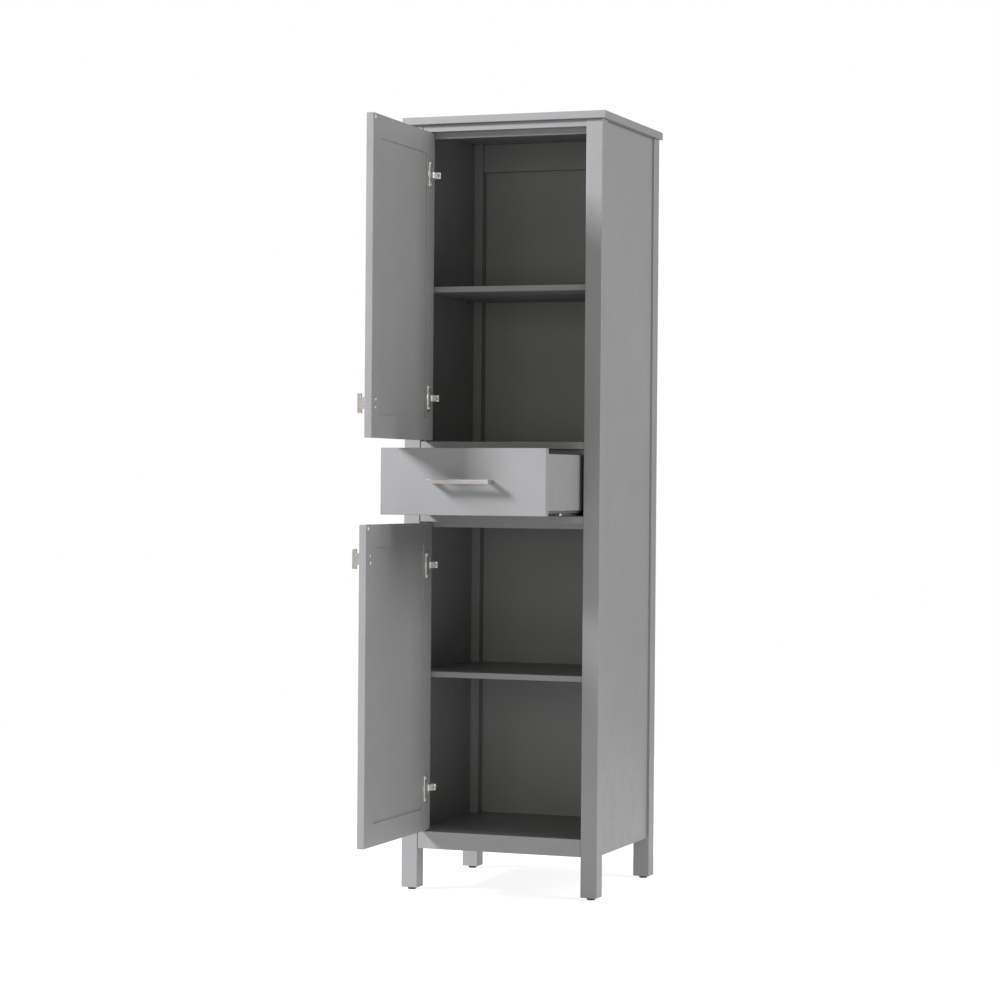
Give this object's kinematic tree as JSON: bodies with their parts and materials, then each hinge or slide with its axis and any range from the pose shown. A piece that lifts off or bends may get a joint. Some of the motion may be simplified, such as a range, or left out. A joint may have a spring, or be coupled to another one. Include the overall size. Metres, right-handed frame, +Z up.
{
  "type": "pantry cabinet",
  "caption": "Tall narrow freestanding storage cabinet on square legs, with shaker doors above and below a drawer, shelves inside and plain bar pulls.",
  "frame": {"origin": "on the floor, midway between the left and right legs, in the front legs' centre plane", "axes": "+Z up, +X to the cabinet's right seen from the front, -Y out of the front"},
  "size_m": [0.457, 0.749, 1.651],
  "materials": {
    "grey_paint": "satin grey paint over smooth wood and fibreboard",
    "brushed_nickel": "warm brushed nickel",
    "hinge_nickel": "bright nickel on pressed steel",
    "zinc_steel": "zinc plated steel",
    "black_plastic": "moulded black",
    "white_plastic": "moulded white nylon",
    "clear_rubber": "soft clear bumper"
  },
  "bodies": {
    "carcass": {"apron": "grey_paint", "back_panel": "grey_paint", "back_top_rail": "grey_paint", "floor_panel": "grey_paint", "glide_front_left": "black_plastic", "glide_front_right": "black_plastic", "glide_rear_left": "black_plastic", "glide_rear_right": "black_plastic", "leg_front_left": "grey_paint", "leg_front_right": "grey_paint", "leg_rear_left": "grey_paint", "leg_rear_right": "grey_paint", "lower_door_lower_hinge_arm": "hinge_nickel", "lower_door_upper_hinge_arm": "hinge_nickel", "lower_mid_rail": "grey_paint", "lower_mid_stop_strip": "grey_paint", "lower_shelf": "grey_paint", "side_panel_left": "grey_paint", "side_panel_right": "grey_paint", "slide_rail_left": "zinc_steel", "slide_rail_right": "zinc_steel", "top_rail": "grey_paint", "top_slab": "grey_paint", "top_stop_strip": "grey_paint", "upper_deck": "grey_paint", "upper_door_lower_hinge_arm": "hinge_nickel", "upper_door_upper_hinge_arm": "hinge_nickel", "upper_mid_rail": "grey_paint", "upper_mid_stop_strip": "grey_paint", "upper_shelf": "grey_paint"},
    "drawer": {"drawer_back": "grey_paint", "drawer_bottom": "grey_paint", "drawer_front": "grey_paint", "drawer_pull": "brushed_nickel", "drawer_side_left": "grey_paint", "drawer_side_right": "grey_paint", "slide_runner_left": "zinc_steel", "slide_runner_right": "zinc_steel"},
    "slide_middles": {"slide_middle_left": "zinc_steel", "slide_middle_right": "zinc_steel"},
    "upper_door": {"upper_door_bottom_rail": "grey_paint", "upper_door_free_stile": "grey_paint", "upper_door_hinge_stile": "grey_paint", "upper_door_lower_hinge_cup": "hinge_nickel", "upper_door_panel": "grey_paint", "upper_door_pull": "brushed_nickel", "upper_door_top_rail": "grey_paint", "upper_door_upper_hinge_cup": "hinge_nickel"},
    "lower_door": {"lower_door_bottom_rail": "grey_paint", "lower_door_free_stile": "grey_paint", "lower_door_hinge_stile": "grey_paint", "lower_door_lower_hinge_cup": "hinge_nickel", "lower_door_panel": "grey_paint", "lower_door_pull": "brushed_nickel", "lower_door_top_rail": "grey_paint", "lower_door_upper_hinge_cup": "hinge_nickel"},
    "upper_links": {"upper_door_lower_hinge_link": "hinge_nickel", "upper_door_upper_hinge_link": "hinge_nickel"},
    "lower_links": {"lower_door_lower_hinge_link": "hinge_nickel", "lower_door_upper_hinge_link": "hinge_nickel"}
  },
  "joints": [
    {"name": "upper_door_hinge", "type": "hinge", "parent": "carcass", "child": "upper_door", "pos_m": [-0.1725, -0.013, 1.29], "axis": [0, 0, -1], "range_deg": [-88, 17]},
    {"name": "lower_door_hinge", "type": "hinge", "parent": "carcass", "child": "lower_door", "pos_m": [-0.1725, -0.013, 0.458], "axis": [0, 0, -1], "range_deg": [-89.5, 15.5]},
    {"name": "upper_link_pivot", "type": "hinge", "parent": "carcass", "child": "upper_links", "pos_m": [-0.1539, 0.0044, 1.29], "axis": [0, 0, 1], "range_deg": [-29.6, 5.8]},
    {"name": "lower_link_pivot", "type": "hinge", "parent": "carcass", "child": "lower_links", "pos_m": [-0.1539, 0.0044, 0.458], "axis": [0, 0, 1], "range_deg": [-30.1, 5.3]},
    {"name": "drawer_slide", "type": "slide", "parent": "carcass", "child": "drawer", "axis": [0, -1, 0], "range_m": [-0.225, 0.075]},
    {"name": "slide_middle_travel", "type": "slide", "parent": "carcass", "child": "slide_middles", "axis": [0, -1, 0], "range_m": [-0.113, 0.038]}
  ],
  "couplings": [
    {"joint": "upper_link_pivot", "follows": "upper_door_hinge", "ratio": 0.336},
    {"joint": "lower_link_pivot", "follows": "lower_door_hinge", "ratio": 0.336},
    {"joint": "slide_middle_travel", "follows": "drawer_slide", "ratio": 0.5}
  ]
}
